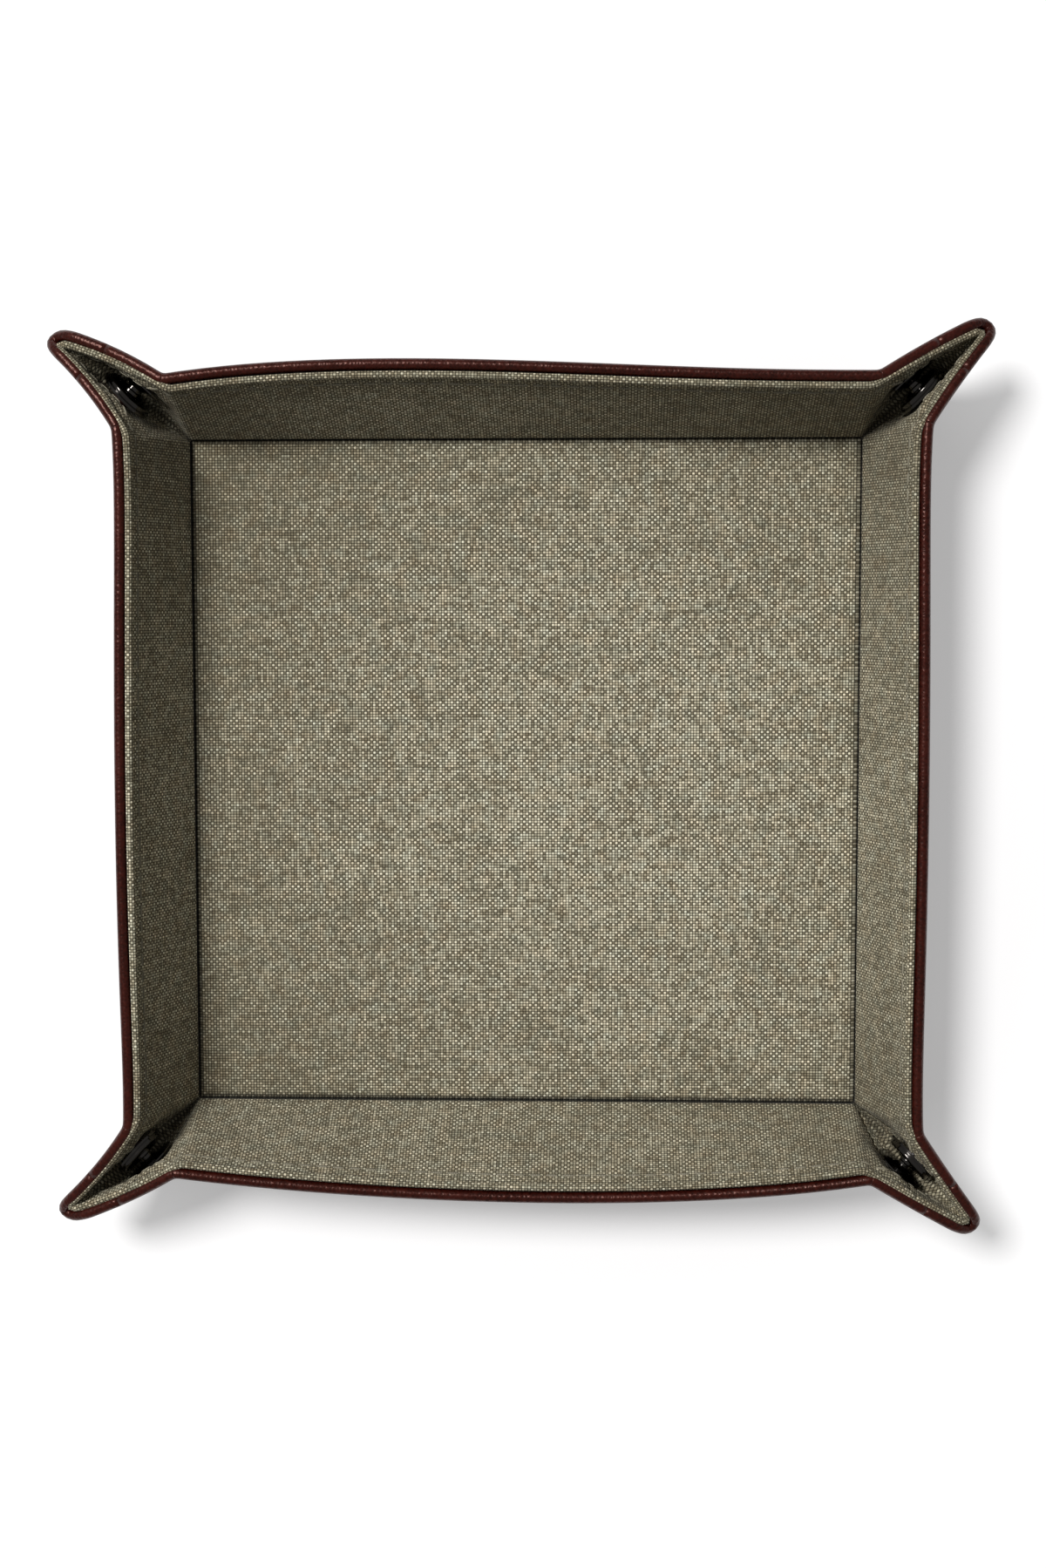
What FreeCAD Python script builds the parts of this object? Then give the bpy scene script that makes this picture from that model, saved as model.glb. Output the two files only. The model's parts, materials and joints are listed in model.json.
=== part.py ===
"""Valet tray: a lined leather sheet, folded up along four creases and snapped at its corners.

Millimetres, +Z up, origin under the middle of the base. +Y is the rear wall, -Y the front wall.
Every piece is drawn flat, as the sheet is cut, and then folded into place by its Placement.
The crease lines lie in the inner face of the leather, so that face is the zero level of each panel.
"""
import FreeCAD, Part
import math
import os
import re
import Sketcher

Vector = FreeCAD.Vector
Placement = FreeCAD.Placement
Rotation = FreeCAD.Rotation
X_AXIS = Vector(1, 0, 0)
Y_AXIS = Vector(0, 1, 0)
Z_AXIS = Vector(0, 0, 1)

# Driving sizes in millimetres and degrees
SIZES = {
    "crease_span": 147.0,
    "wall_width": 29.0,
    "fold_angle": 70.0,
    "corner_radius": 9.0,
    "leather": 1.2,
    "board": 1.2,
    "lining": 0.8,
    "fold_clearance": 0.2,
    "layer_gap": 0.15,
    "leather_relief": 0.45,
    "lining_relief": 0.15,
    "hem_depth": 6.0,
    "lining_bead": 0.8,
    "bead_step": 0.3,
    "board_inset": 2.0,
    "corner_mitre": 4.0,
    "wing_trim": 5.0,
    "snap_margin": 1.7,
    "land_tilt": 12.0,
    "land_margin": 0.3,
    "land_rise": 1.6,
    "punch_reach": 6.4,
    "cap_overlap": 0.1,
    "cap_dome": 2.4,
    "cap_edge": 0.8,
    "barrel_radius": 1.9,
    "barrel_end": 0.3,
    "socket_lip": 0.7,
    "socket_round": 0.6,
    "mouth_flare": 0.5,
    "bore_clearance": 0.9,
    "closing_gap": 0.34,
    "snap_plate": 0.5,
    "snap_round": 0.3,
    "stud_step": 0.3,
    "stud_root": 2.4,
    "stud_head": 1.7,
    "stud_neck": 1.4,
    "stud_gap": 0.37,
    "post_radius": 4.4,
    "post_head": 0.7,
    "stem_radius": 0.9,
    "rivet_clearance": 0.1,
}

doc = FreeCAD.newDocument("valet_tray")
sheet = doc.addObject("Spreadsheet::Sheet", "Sizes")
for row, (alias, amount) in enumerate(SIZES.items(), start=1):
    sheet.set(f"A{row}", alias)
    sheet.set(f"B{row}", str(amount))
    sheet.setAlias(f"B{row}", alias)
doc.recompute()


def size(name):
    """The value of one cell of the sheet."""
    return float(sheet.get(name))


def worked(formula):
    """The number that a formula gives, where each size is written as its alias in brackets."""
    return float(sheet.evalExpression(re.sub(r"\[(\w+)\]", r"\1", formula)))


def bind(thing, **formulas):
    """Bind properties of a document object to formulas on the sheet."""
    for prop, formula in formulas.items():
        thing.setExpression(prop, re.sub(r"\[(\w+)\]", r"Sizes.\1", formula))


SPAN = size("crease_span")
LEATHER = size("leather")
FOLD = size("fold_angle")

# The fold of a wing about the side of its wall that closes the corner at the wall's fold
slope = math.radians(FOLD)
reach = math.hypot(math.cos(slope) / math.sqrt(2), math.sin(slope))
WING_FOLD = math.degrees(math.atan(math.sqrt(2) * math.tan(slope)) - math.acos(1 / math.sqrt(2) / reach))

# Each wall's turn about Z from the rear wall
SIDES = {"rear": 0.0, "left": 90.0, "front": 180.0, "right": 270.0}

# The two halves of each ear: the wall it belongs to, the end of that wall, and the neighbouring wall
STUD_WINGS = [("front", 1, "left"), ("front", -1, "right"), ("rear", -1, "left"), ("rear", 1, "right")]
SOCKET_WINGS = [("left", -1, "front"), ("right", 1, "front"), ("left", 1, "rear"), ("right", -1, "rear")]

# Heights over the crease lines, and where each layer starts so that the folded layers clear each other
HALF_FOLD = "tan([fold_angle] / 2 * 1 deg)"
WALL_LAYERS = "([board] + [lining])"
BOARD_START = f"([board] * {HALF_FOLD} + [layer_gap])"
LINING_START = f"({WALL_LAYERS} * {HALF_FOLD} + [layer_gap])"

# A snap sits in the middle of its wing, equally far from the wall's side, the rim's bead and the diagonal
WING_LEG = "([wall_width] - 2 * [leather])"
SNAP_REACH = f"({WING_LEG} * (1 - 1 / sqrt(2)))"
LAND_ROOT = f"({SNAP_REACH} - [land_margin])"
SOCKET_RADIUS = f"({SNAP_REACH} - [snap_margin])"

# The room between the linings of an ear along the axis of its snap, and at the edge of the socket's ring
SNAP_LEAN = "((90 - [fold_angle] - [land_tilt]) * 1 deg)"
SNAP_ROOM = f"(2 * {SNAP_REACH} * cos([fold_angle] * 1 deg) / cos({SNAP_LEAN}) - 2 * [lining])"
SOCKET_RING = f"({SOCKET_RADIUS} - [socket_lip])"
RING_ROOM = f"({SNAP_ROOM} * cos({SNAP_LEAN}) - 2 * {SOCKET_RING} * sin({SNAP_LEAN}))"

PIECES = []


def wall_place(side):
    """A wall's frame, folded up about its crease: x along the crease, y from the crease to the rim."""
    turn = Rotation(Z_AXIS, SIDES[side])
    return Placement(turn.multVec(Vector(0, SPAN / 2, LEATHER)), turn.multiply(Rotation(X_AXIS, FOLD)))


def wing_place(side, hand):
    """A wing's frame, folded out about the side of its wall: its diagonal runs along (hand, 1)."""
    edge = Placement(Vector(hand * SPAN / 2, 0, 0), Rotation(Y_AXIS, hand * WING_FOLD))
    return wall_place(side).multiply(edge)


def snap_point(hand, level):
    """The middle of a snap in its wing's frame."""
    return Vector(hand * worked(SNAP_REACH), worked(f"{WING_LEG} - {SNAP_REACH}"), level)


def land_place(hand, level=0.0):
    """The seat of a snap in its wing's frame, tilted towards the other half of the ear."""
    return Placement(snap_point(hand, level), Rotation(Vector(hand, 1, 0), hand * size("land_tilt")))


def shift(x, y, z):
    """A placement that only moves."""
    return Placement(Vector(x, y, z), Rotation())


def finish_piece(piece, label, place):
    """Name a finished piece and fold it into its place."""
    doc.recompute()
    piece.Label = label
    piece.Placement = place
    PIECES.append(piece)


def arc_between(start, end, radius):
    """The arc from start to end that turns left with a positive radius and right with a negative one."""
    chord = end - start
    outward = Vector(chord.y, -chord.x, 0).normalize()
    sag = abs(radius) - math.sqrt(radius ** 2 - chord.Length ** 2 / 4)
    middle = start + chord * 0.5 + outward * math.copysign(sag, radius)
    if radius < 0:
        return Part.Arc(end, middle, start)
    return Part.Arc(start, middle, end)


def profile(body, name, role, corners):
    """A closed sketch through corners (x, y) or (x, y, radius), where an arc leads to that corner."""
    sketch = body.newObject("Sketcher::SketchObject", name)
    plane = next(item for item in body.Origin.OriginFeatures if item.Role == role)
    sketch.AttachmentSupport = [(plane, "")]
    sketch.MapMode = "FlatFace"
    points = [Vector(worked(corner[0]), worked(corner[1]), 0) for corner in corners]
    count = len(corners)
    first = []
    for index in range(count):
        after = (index + 1) % count
        if len(corners[after]) == 2:
            sketch.addGeometry(Part.LineSegment(points[index], points[after]))
            first.append(1)
            continue
        radius = worked(corners[after][2])
        sketch.addGeometry(arc_between(points[index], points[after], radius))
        first.append(1 if radius > 0 else 2)
        number = sketch.addConstraint(Sketcher.Constraint("Radius", index, abs(radius)))
        bind(sketch, **{f"Constraints[{number}]": f"abs({corners[after][2]})"})
    for index in range(count):
        after = (index + 1) % count
        sketch.addConstraint(Sketcher.Constraint("Coincident", index, 3 - first[index], after, first[after]))
        for kind, formula in zip(("DistanceX", "DistanceY"), corners[index]):
            distance = Sketcher.Constraint(kind, -1, 1, index, first[index], worked(formula))
            number = sketch.addConstraint(distance)
            bind(sketch, **{f"Constraints[{number}]": formula})
    return sketch


def pad(body, sketch, length, symmetric=False):
    """A pad of a sketch along its normal, from the sketch or to both sides of it."""
    feature = body.newObject("PartDesign::Pad", sketch.Name + "_pad")
    feature.Profile = sketch
    feature.SideType = "Symmetric" if symmetric else "One side"
    bind(feature, Length=length)
    doc.recompute()
    return feature


def make_base():
    """Leather rolled round on its four creases, the board on it, and the lining over the board."""
    half = "[crease_span] / 2"
    rolled = [
        (f"-{half}", "-[leather]", "[leather]"),
        (half, "-[leather]"),
        (f"{half} + [leather]", "0", "[leather]"),
        (f"-{half} - [leather]", "0"),
    ]
    leather = doc.addObject("PartDesign::Body", "base_leather")
    for role in ("XZ_Plane", "YZ_Plane"):
        pad(leather, profile(leather, "base_roll_" + role[0], role, rolled), "[crease_span]", symmetric=True)
    finish_piece(leather, "base_leather", shift(0, 0, LEATHER))

    for layer, start, level in (("board", BOARD_START, 0.0), ("lining", LINING_START, size("board"))):
        plate = doc.addObject("Part::Box", f"base_{layer}")
        side = f"[crease_span] - 2 * {start}"
        bind(plate, Length=side, Width=side, Height=f"[{layer}]")
        corner = -worked(side) / 2
        finish_piece(plate, f"base_{layer}", shift(corner, corner, LEATHER + level))


def make_wall(side):
    """A wall's leather with its turned rim, its board, and its lining with a beaded edge."""
    name = f"{side}_wall"
    roll = "([leather] + [fold_clearance])"
    hem = "[wall_width] - [hem_depth]"
    turned = [
        (f"sqrt({roll} ^ 2 - [leather] ^ 2)", "-[leather]", f"-{roll}"),
        ("[wall_width] - [leather]", "-[leather]"),
        ("[wall_width]", "0", "[leather]"),
        ("[wall_width] - [leather]", "[leather]", "[leather]"),
        (hem, "[leather]"),
        (hem, "0"),
        (roll, "0"),
    ]
    leather = doc.addObject("PartDesign::Body", f"{name}_leather")
    sketch = profile(leather, f"{name}_turned_rim", "YZ_Plane", turned)
    pad(leather, sketch, "[crease_span] - 2 * [leather_relief]", symmetric=True)
    finish_piece(leather, f"{name}_leather", wall_place(side))

    board = doc.addObject("Part::Box", f"{name}_board")
    length = "[crease_span] - 2 * [board_inset]"
    bind(board, Length=length, Width=f"{hem} - [layer_gap] - {BOARD_START}", Height="[board]")
    seat = shift(-worked(length) / 2, worked(BOARD_START), 0)
    finish_piece(board, f"{name}_board", wall_place(side).multiply(seat))

    bead = "[wall_width] - [leather] - [bead_step]"
    edged = [
        (LINING_START, "0"),
        (bead, "0"),
        (f"{bead} + [lining_bead]", "[lining_bead]", "[lining_bead]"),
        (bead, "2 * [lining_bead]", "[lining_bead]"),
        (f"{bead} - sqrt([lining_bead] ^ 2 - ([lining] - [lining_bead]) ^ 2)", "[lining]", "[lining_bead]"),
        (LINING_START, "[lining]"),
    ]
    lining = doc.addObject("PartDesign::Body", f"{name}_lining")
    sketch = profile(lining, f"{name}_edge_bead", "YZ_Plane", edged)
    sheet_pad = pad(lining, sketch, "[crease_span] - 2 * [lining_relief]", symmetric=True)
    start = worked(LINING_START)
    mitred = []
    for number, edge in enumerate(sheet_pad.Shape.Edges, start=1):
        upright = abs(edge.BoundBox.ZLength - size("lining")) < 1e-6
        if upright and abs(edge.CenterOfMass.y - start) < 1e-6:
            mitred.append(f"Edge{number}")
    chamfer = lining.newObject("PartDesign::Chamfer", f"{name}_mitre")
    chamfer.Base = (sheet_pad, mitred)
    bind(chamfer, Size="[corner_mitre]")
    finish_piece(lining, f"{name}_lining", wall_place(side).multiply(shift(0, 0, size("board"))))


def wing_blank(name, hand, relief, setback, rim, thickness):
    """A flat half ear, from its wall's side to its setback from the diagonal, with a round corner."""
    centre = "([wall_width] - [corner_radius])"
    radius = f"({rim} - {centre})"
    bearing = f"(acos({setback} / {radius}) - 45 deg)"
    corners = [
        (f"{hand} * ([wing_trim] - {setback}) / sqrt(2)", f"([wing_trim] + {setback}) / sqrt(2)"),
        (f"{hand} * {relief}", f"[wing_trim] * sqrt(2) - {relief}"),
        (f"{hand} * {relief}", rim),
        (f"{hand} * {centre}", rim),
        (f"{hand} * ({centre} + {radius} * sin({bearing}))", f"{centre} + {radius} * cos({bearing})",
         f"{-hand} * {radius}"),
    ]
    body = doc.addObject("PartDesign::Body", f"{name}_blank")
    pad(body, profile(body, f"{name}_outline", "XY_Plane", corners), thickness)
    return body


def rod(name, radius, length, place):
    """A round bar along its own z."""
    bar = doc.addObject("Part::Cylinder", name)
    bind(bar, Radius=radius, Height=length)
    bar.Placement = place
    return bar


def pressed_wedge(name, hand, level, upward):
    """What the tilted seat of a snap adds to a face of the sheet on one side of its tilt axis.

    A low cone stands on the face, and a half space under the tilted seat cuts it to a wedge.
    """
    turn = Rotation() if upward else Rotation(X_AXIS, 180)
    cone = doc.addObject("Part::Cone", f"{name}_cone")
    bind(cone, Radius1=LAND_ROOT, Radius2=f"{LAND_ROOT} - [land_rise]", Height="[land_rise]")
    cone.Placement = Placement(snap_point(hand, level), turn)
    under = doc.addObject("Part::Box", f"{name}_under")
    bind(under, Length="2 * [wall_width]", Width="2 * [wall_width]", Height="[wall_width]")
    half = size("wall_width")
    drop = -half if upward else 0.0
    under.Placement = land_place(hand, level).multiply(shift(-half, -half, drop))
    wedge = doc.addObject("Part::Common", name)
    wedge.Base = cone
    wedge.Tool = under
    return wedge


def press_seat(name, hand, sheets, cuts, bottom, top, hole):
    """Press the snap's tilted seat into a sheet between two levels, and punch the rivet's hole."""
    blank = doc.addObject("Part::MultiFuse", f"{name}_raised")
    raised = pressed_wedge(f"{name}_raise", hand, top, True)
    sunk = pressed_wedge(f"{name}_sink", hand, bottom, False)
    blank.Shapes = sheets + [raised, sunk]
    punch = rod(f"{name}_punch", f"{hole} + [rivet_clearance]", "2 * [punch_reach]",
                land_place(hand).multiply(shift(0, 0, -size("punch_reach"))))
    hollow = doc.addObject("Part::MultiFuse", f"{name}_hollow")
    under = pressed_wedge(f"{name}_under_raise", hand, bottom, True)
    over = pressed_wedge(f"{name}_over_sink", hand, top, False)
    hollow.Shapes = [under, over, punch] + cuts
    pressed = doc.addObject("Part::Cut", f"{name}_pressed")
    pressed.Base = blank
    pressed.Tool = hollow
    return pressed


def make_wing(side, hand, other, has_stud):
    """Half an ear: its leather with a round rim bead, and its lining, both pressed to seat the snap."""
    name = f"wing_{side}_{other}"
    hole = "[stem_radius]" if has_stud else "[barrel_radius]"
    along_rim = Rotation(Y_AXIS, 90 * hand).multiply(Rotation(Z_AXIS, 90 - 90 * hand))
    inner_fold = "tan([fold_angle] * 1 deg)"
    centre = "([wall_width] - [corner_radius])"

    rim = "([wall_width] - [leather])"
    setback = "0" if has_stud else "([leather] + [fold_clearance])"
    plate = wing_blank(f"{name}_leather", hand, "[leather_relief]", setback, rim, "[leather]")
    plate.Placement = shift(0, 0, -LEATHER)
    bead = rod(f"{name}_rim", "[leather]", f"{centre} - [leather_relief]",
               Placement(Vector(hand * size("leather_relief"), worked(rim), 0), along_rim))
    sheets = [plate, bead]
    turn = doc.addObject("Part::Torus", f"{name}_turn")
    sweep = f"acos(([leather] * {inner_fold} + [layer_gap]) / ({rim} - {centre})) - 45 deg"
    bind(turn, Radius1=f"{rim} - {centre}", Radius2="[leather]", Angle3=sweep)
    start = 90.0 - worked(sweep) if hand > 0 else 90.0
    turn.Placement = Placement(Vector(hand * worked(centre), worked(centre), 0), Rotation(Z_AXIS, start))
    sheets.append(turn)
    foot = size("wing_trim") / math.sqrt(2)
    diagonal = Placement(Vector(hand * foot, foot, 0), Rotation(Z_AXIS, Vector(hand, 1, 0)))
    length = f"{centre} * sqrt(2) + [corner_radius] - [wing_trim]"
    if has_stud:
        sheets.append(rod(f"{name}_fold", "[leather]", length, diagonal))
    leather = press_seat(f"{name}_leather", hand, sheets, [], -LEATHER, 0.0, hole)
    finish_piece(leather, f"{name}_leather", wing_place(side, hand))

    edge = "([wall_width] - 2 * [leather] - [lining_bead] - [bead_step] / 2)"
    setback = f"([lining] * {inner_fold} + [layer_gap])"
    plate = wing_blank(f"{name}_lining", hand, "[lining_relief]", setback, edge, "[lining]")
    bead_stop = f"min({centre}; {edge} - sqrt(2) * (2 * [lining_bead] * {inner_fold} + [layer_gap]))"
    bead = rod(f"{name}_edge", "[lining_bead]", f"{bead_stop} - [lining_relief]",
               Placement(Vector(hand * size("lining_relief"), worked(edge), size("lining_bead")), along_rim))
    fold_relief = rod(f"{name}_fold_relief", "[leather] + [fold_clearance]", length, diagonal)
    lining = press_seat(f"{name}_lining", hand, [plate, bead], [fold_relief], 0.0, size("lining"), hole)
    finish_piece(lining, f"{name}_lining", wing_place(side, hand))


def make_turned(name, corners, place):
    """A turned snap piece: its half section, revolved about the snap's axis."""
    body = doc.addObject("PartDesign::Body", name)
    sketch = profile(body, f"{name}_section", "XZ_Plane", corners)
    turned = body.newObject("PartDesign::Revolution", f"{name}_turned")
    turned.Profile = sketch
    turned.ReferenceAxis = (sketch, ["V_Axis"])
    turned.Angle = 360
    finish_piece(body, name, place)


def make_socket(side, hand, other):
    """The capped half of a snap: a domed cap whose barrel passes the wing and holds the socket."""
    place = wing_place(side, hand).multiply(land_place(hand))
    name = f"snap_{other}_{side}"
    crown = "([cap_dome] - [cap_edge])"
    brim = f"({SOCKET_RADIUS} + [cap_overlap])"
    barrel_top = "[lining] + [barrel_end]"
    cap = [
        ("0", "-[leather] - [cap_dome]"),
        (brim, "-[leather] - [cap_edge]", f"({brim} ^ 2 + {crown} ^ 2) / (2 * {crown})"),
        (brim, "-[leather]"),
        ("[barrel_radius]", "-[leather]"),
        ("[barrel_radius]", barrel_top),
        ("0", barrel_top),
    ]
    make_turned(f"{name}_cap", cap, place)
    floor = "[barrel_radius] + [rivet_clearance]"
    plate = "[lining] + [snap_plate]"
    height = f"({RING_ROOM} - [snap_round] - [closing_gap])"
    top = f"[lining] + {height}"
    edge = f"min([socket_round]; ({height} - [snap_plate]) / 2)"
    bore = "[stud_head] + [bore_clearance]"
    socket = [
        (floor, "[lining]"),
        (SOCKET_RADIUS, "[lining]"),
        (SOCKET_RADIUS, plate),
        (SOCKET_RING, plate),
        (SOCKET_RING, f"{top} - {edge}"),
        (f"{SOCKET_RING} - {edge}", top, edge),
        (f"{bore} + [mouth_flare]", top),
        (bore, f"{top} - [snap_plate]"),
        (bore, barrel_top),
        (floor, barrel_top),
    ]
    make_turned(f"{name}_socket", socket, place)


def make_stud(side, hand, other):
    """The other half of a snap: a post whose stem passes the wing and is closed inside the stud."""
    place = wing_place(side, hand).multiply(land_place(hand))
    name = f"snap_{side}_{other}"
    bore = "[stem_radius] + [rivet_clearance]"
    height = f"({SNAP_ROOM} - [barrel_end] - [stud_gap])"
    top = f"[lining] + {height}"
    shank = f"({height} - [snap_plate])"
    plate = "[lining] + [snap_plate]"
    flange = f"({SOCKET_RADIUS} - [stud_step])"
    stem_top = f"{top} - [snap_plate] - [rivet_clearance]"
    stud = [
        (bore, "[lining]"),
        (flange, "[lining]"),
        (flange, "[lining] + [snap_round]"),
        ("[stud_root]", plate),
        ("[stud_neck]", f"{plate} + {shank} / 4"),
        ("[stud_neck]", f"{plate} + {shank} / 2"),
        ("[stud_head]", f"{plate} + {shank} * 5 / 8"),
        ("[stud_head]", f"{top} - [snap_plate]"),
        ("[stud_head] - [snap_plate]", top, "[snap_plate]"),
        ("0", top),
        ("0", f"{top} - [snap_plate]"),
        (bore, f"{top} - [snap_plate]"),
    ]
    make_turned(f"{name}_stud", stud, place)
    head = "-[leather] - [post_head]"
    post = [
        ("0", head),
        ("[post_radius] - [snap_round]", head),
        ("[post_radius]", f"{head} + [snap_round]", "[snap_round]"),
        ("[post_radius]", "-[leather]"),
        ("[stem_radius]", "-[leather]"),
        ("[stem_radius]", stem_top),
        ("0", stem_top),
    ]
    make_turned(f"{name}_post", post, place)


make_base()
for side in SIDES:
    make_wall(side)
for side, hand, other in STUD_WINGS:
    make_wing(side, hand, other, True)
    make_stud(side, hand, other)
for side, hand, other in SOCKET_WINGS:
    make_wing(side, hand, other, False)
    make_socket(side, hand, other)
doc.recompute()

for item in doc.Objects:
    if {"Invalid", "Error"} & set(item.State):
        raise RuntimeError(f"{item.Label} failed: {item.State}")
for piece in PIECES:
    if piece.Shape.isNull() or not piece.Shape.isValid() or len(piece.Shape.Solids) != 1:
        raise RuntimeError(f"{piece.Label} is not one valid solid")

os.makedirs("parts", exist_ok=True)
for piece in PIECES:
    piece.Shape.exportStep(f"parts/{piece.Label}.step")
print(len(PIECES), "pieces, wing fold", round(WING_FOLD, 3))
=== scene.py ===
# %% [markdown]
# # A valet tray with snapped corners
# The tray is one square sheet of leather, lined with plain-woven cloth, with stiff boards between the two.
# Four creases turn its sides up, and each corner is pinched outwards into an ear that a snap holds.
# The lesson makes the tray as its maker does: every sheet is laid out flat first, and then it is folded.
# Lengths are in millimetres until a point is folded, and in metres after that.

import json
import math

import bmesh
import bpy
import numpy as np
from mathutils import Matrix, Vector


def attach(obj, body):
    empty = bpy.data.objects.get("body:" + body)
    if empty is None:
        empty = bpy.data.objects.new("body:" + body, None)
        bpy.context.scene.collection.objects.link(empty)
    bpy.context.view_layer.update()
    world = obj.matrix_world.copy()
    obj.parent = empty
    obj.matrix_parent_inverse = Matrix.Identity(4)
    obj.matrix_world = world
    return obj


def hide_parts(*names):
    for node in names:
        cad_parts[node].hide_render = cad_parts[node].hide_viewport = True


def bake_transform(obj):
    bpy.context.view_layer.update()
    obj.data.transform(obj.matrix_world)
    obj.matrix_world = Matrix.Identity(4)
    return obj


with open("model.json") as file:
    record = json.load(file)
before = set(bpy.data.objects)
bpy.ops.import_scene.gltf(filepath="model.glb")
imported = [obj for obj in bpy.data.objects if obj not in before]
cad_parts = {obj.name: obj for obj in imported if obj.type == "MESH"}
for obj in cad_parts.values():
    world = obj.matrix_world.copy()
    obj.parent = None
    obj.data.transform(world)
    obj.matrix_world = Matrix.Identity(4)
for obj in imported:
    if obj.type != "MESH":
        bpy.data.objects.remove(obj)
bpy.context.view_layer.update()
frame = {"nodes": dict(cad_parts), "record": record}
MM = 0.001

# %% [markdown]
# ## Folding
# A fold is easiest to think of as a rule that sends each point of the flat sheet to its place in the tray.
# With sharp creases the rule is plain trigonometry: a wall turns up about its crease, and the ear closes the
# corner between two walls. Boards keep a wall's crease tight, but nothing stiffens an ear, so its fold is a
# roll: a narrow cone that starts at the corner of the base and is as wide as a pencil lead at the rim. A cone
# can be rolled from a flat sheet without stretching it, which is why real ears take that shape.

# %% The ear's rolled fold
WALL_LEAN = math.radians(70)
EAR_RISE = math.radians(32.348)
HALF_EAR = math.pi / 2 - WALL_LEAN
# Half the width between a sheet's creases, its height there, and its roll's radius as a share of the ear's
# length
LEATHER_SPAN, LEATHER_LEVEL, LEATHER_ROLL = 73.5, 1.2, 0.043
LINING_SPAN, LINING_LEVEL, LINING_ROLL = 72.1, 3.2, 0.018
ROLLS = {LEATHER_SPAN: LEATHER_ROLL, LINING_SPAN: LINING_ROLL}
# Rounds of the search for the lean that lets a rolled ear end at its walls
LEAN_ROUNDS = 20


def rolled_ear(share, roll):
    """The cross-section of an ear at a share of the way from its fold to its wall: outwards and sideways."""
    lean = HALF_EAR
    for _ in range(LEAN_ROUNDS):
        bend = roll * (math.pi / 2 - lean)
        lean = math.asin((math.sin(HALF_EAR) - roll * math.cos(lean)) / (1 - bend))
    middle = (1 - bend) * math.cos(lean) - roll * math.sin(lean) - math.cos(HALF_EAR)
    turn = np.minimum(share, bend) / roll
    run = np.maximum(share - bend, 0)
    outwards = middle + roll * np.cos(turn) - run * math.cos(lean)
    sideways = roll * np.sin(turn) + run * math.sin(lean)
    return outwards, sideways


moved = float(rolled_ear(0.0, LEATHER_ROLL)[0])
print("the roll moves the leather's fold by", round(moved, 4), "of its length")

# %% [markdown]
# No rim of a real tray is straight. Each one bows out in an arch, and the four ears lean a little differently
# from each other, as hand-pinched corners do. Small tables keep these habits apart from the rule itself.

# %% Bows and leans
# How far each rim bows out: all along, in an arch, and more at one end
BOWS = {"rear": (0.2, 2.4, -3.0), "front": (0.2, 5.5, 1.0),
        "left": (-0.9, 1.5, -0.5), "right": (-0.9, 1.1, -0.2)}
# The height of wall that turns a bow into an angle
BOW_REACH = 27.0
# How far the tip of each ear leans along x and y, where it lies, and how far past it the lean still grows
TIP_LEANS = {(-1, 1): (-2.3, -2.8), (1, 1): (0.9, -1.4), (1, -1): (0.7, 0.4), (-1, -1): (-3.3, 1.4)}
TIP_REACH, TIP_MOST = 25.0, 1.2


def bow_of(side, share):
    """A rim's bow at a share of the way from its middle to its end, from -1 to 1."""
    level, arch, skew = BOWS[side]
    share = np.clip(share, -1, 1)
    # A high power keeps the level nearly even, and still ends it at the corners
    return level * (1 - share ** 8) + (1 - share ** 2) * (arch + skew * share)


def tip_lean(x, y, span):
    """How far the ears lean over, more towards their tips."""
    inset = np.clip((np.minimum(np.abs(x), np.abs(y)) - span) / TIP_REACH, 0, TIP_MOST)
    lean = np.zeros(x.shape + (3,))
    for (side, end), (lean_x, lean_y) in TIP_LEANS.items():
        here = (np.sign(x) == side) & (np.sign(y) == end)
        lean[..., 0] += np.where(here, lean_x * inset ** 2, 0)
        lean[..., 1] += np.where(here, lean_y * inset ** 2, 0)
    return lean


print("bows at the rims' middles:", {side: round(float(bow_of(side, 0.0)), 1) for side in BOWS}, "mm")

# %% The sharp fold
def sharp_fold(x, y, span, level):
    """Points of the flat sheet, folded along sharp creases."""
    a, b = np.abs(x), np.abs(y)
    upright = b >= a
    along, across = np.where(upright, a, b), np.where(upright, b, a)
    rise = np.maximum(across - span, 0)
    out = np.maximum(along - span, 0)
    bow = np.where(upright,
                   np.where(y > 0, bow_of("rear", x / span), bow_of("front", x / span)),
                   np.where(x > 0, bow_of("right", y / span), bow_of("left", y / span)))
    lean = WALL_LEAN - bow / BOW_REACH
    ear = out > 0
    length = np.where(ear, rise + out, 1) / math.sqrt(2)
    outwards, sideways = rolled_ear((rise - out) / math.sqrt(2) / length, ROLLS[span])
    reach = length * (math.cos(EAR_RISE) + outwards * math.sin(EAR_RISE)) / math.sqrt(2)
    aside = length * sideways / math.sqrt(2)
    folded_along = np.where(ear, span + reach - aside, along)
    folded_across = np.where(ear, span + reach + aside, np.minimum(across, span) + rise * np.cos(lean))
    height = level + np.where(ear, length * (math.sin(EAR_RISE) - outwards * math.cos(EAR_RISE)),
                              rise * np.sin(lean))
    folded_x = np.where(upright, folded_along, folded_across) * np.where(x < 0, -1, 1)
    folded_y = np.where(upright, folded_across, folded_along) * np.where(y < 0, -1, 1)
    return np.stack([folded_x, folded_y, height], axis=-1) + tip_lean(x, y, span)


rim = sharp_fold(np.zeros(1), np.array([LEATHER_SPAN + TIP_REACH]), LEATHER_SPAN, LEATHER_LEVEL)
print("middle of the rear wall's rim at", np.round(rim[0], 1), "mm")

# %% [markdown]
# Creases aren't perfectly sharp, so the rule is averaged over a small disc round each point. The disc grows
# from the creases to the rim, where nothing holds the sheet.

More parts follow.
